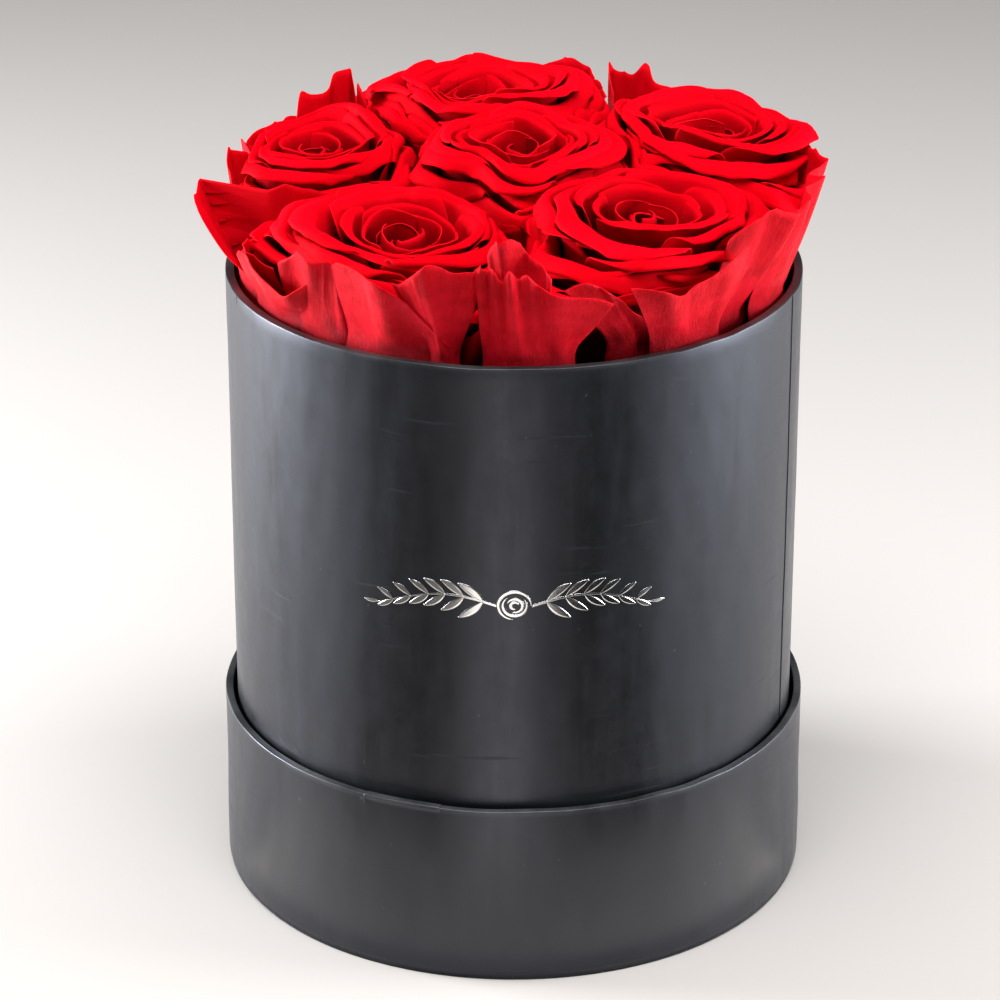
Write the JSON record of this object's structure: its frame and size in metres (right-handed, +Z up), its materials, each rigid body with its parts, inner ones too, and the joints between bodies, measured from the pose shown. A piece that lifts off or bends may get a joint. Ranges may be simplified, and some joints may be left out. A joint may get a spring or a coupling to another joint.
{
  "type": "flower box",
  "caption": "Round rigid paperboard box standing in its upturned lid, packed with dry foam that holds preserved rose heads on short stems.",
  "frame": {"origin": "centre of the lid's underside, on the table that it stands on", "axes": "+Z up along the axis of the box; the front, which carries the foil mark, faces -Y; +X is to the right seen from the front"},
  "size_m": [0.168, 0.1693, 0.214],
  "materials": {
    "black_wrap_paper": "satin",
    "black_lining_paper": "matte",
    "greyboard": "matte",
    "dry_foam": "matte",
    "outer_petals": "matte",
    "inner_petals": "matte",
    "calyx_green": "matte",
    "stem_green": "matte",
    "silver_foil": "gloss"
  },
  "bodies": {
    "lid": {"lid_panel_board": "greyboard", "lid_wall_board": "greyboard", "lid_top_sheet": "black_wrap_paper", "lid_top_sheet_tabs": "black_wrap_paper", "lid_side_wrap": "black_wrap_paper", "lid_lining": "black_lining_paper", "lid_inner_sheet": "black_lining_paper"},
    "flower_box": {"box_base_board": "greyboard", "box_wall_board": "greyboard", "box_base_sheet": "black_wrap_paper", "box_base_sheet_tabs": "black_wrap_paper", "box_side_wrap": "black_wrap_paper", "box_lining": "black_lining_paper", "box_floor_sheet": "black_lining_paper", "foam_disc_lower": "dry_foam", "foam_disc_upper": "dry_foam"},
    "centre_rose": {"centre_rose_outer_petals": "outer_petals", "centre_rose_inner_petals": "inner_petals", "centre_rose_calyx": "calyx_green", "centre_rose_stem": "stem_green"},
    "front_left_rose": {"front_left_rose_outer_petals": "outer_petals", "front_left_rose_inner_petals": "inner_petals", "front_left_rose_calyx": "calyx_green", "front_left_rose_stem": "stem_green"},
    "front_right_rose": {"front_right_rose_outer_petals": "outer_petals", "front_right_rose_inner_petals": "inner_petals", "front_right_rose_calyx": "calyx_green", "front_right_rose_stem": "stem_green"},
    "right_rose": {"right_rose_outer_petals": "outer_petals", "right_rose_inner_petals": "inner_petals", "right_rose_calyx": "calyx_green", "right_rose_stem": "stem_green"},
    "back_rose": {"back_rose_outer_petals": "outer_petals", "back_rose_inner_petals": "inner_petals", "back_rose_calyx": "calyx_green", "back_rose_stem": "stem_green"},
    "left_rose": {"left_rose_outer_petals": "outer_petals", "left_rose_inner_petals": "inner_petals", "left_rose_calyx": "calyx_green", "left_rose_stem": "stem_green"}
  },
  "joints": [
    {"name": "box_lift", "type": "slide", "parent": "lid", "child": "flower_box", "axis": [0, 0, 1], "range_m": [0, 0.06]},
    {"name": "centre_rose_pull", "type": "slide", "parent": "flower_box", "child": "centre_rose", "axis": [0, 0, 1], "range_m": [0, 0.14]},
    {"name": "front_left_rose_pull", "type": "slide", "parent": "flower_box", "child": "front_left_rose", "axis": [0, 0, 1], "range_m": [0, 0.14]},
    {"name": "front_right_rose_pull", "type": "slide", "parent": "flower_box", "child": "front_right_rose", "axis": [0, 0, 1], "range_m": [0, 0.14]},
    {"name": "right_rose_pull", "type": "slide", "parent": "flower_box", "child": "right_rose", "axis": [0, 0, 1], "range_m": [0, 0.14]},
    {"name": "back_rose_pull", "type": "slide", "parent": "flower_box", "child": "back_rose", "axis": [0, 0, 1], "range_m": [0, 0.14]},
    {"name": "left_rose_pull", "type": "slide", "parent": "flower_box", "child": "left_rose", "axis": [0, 0, 1], "range_m": [0, 0.14]}
  ]
}
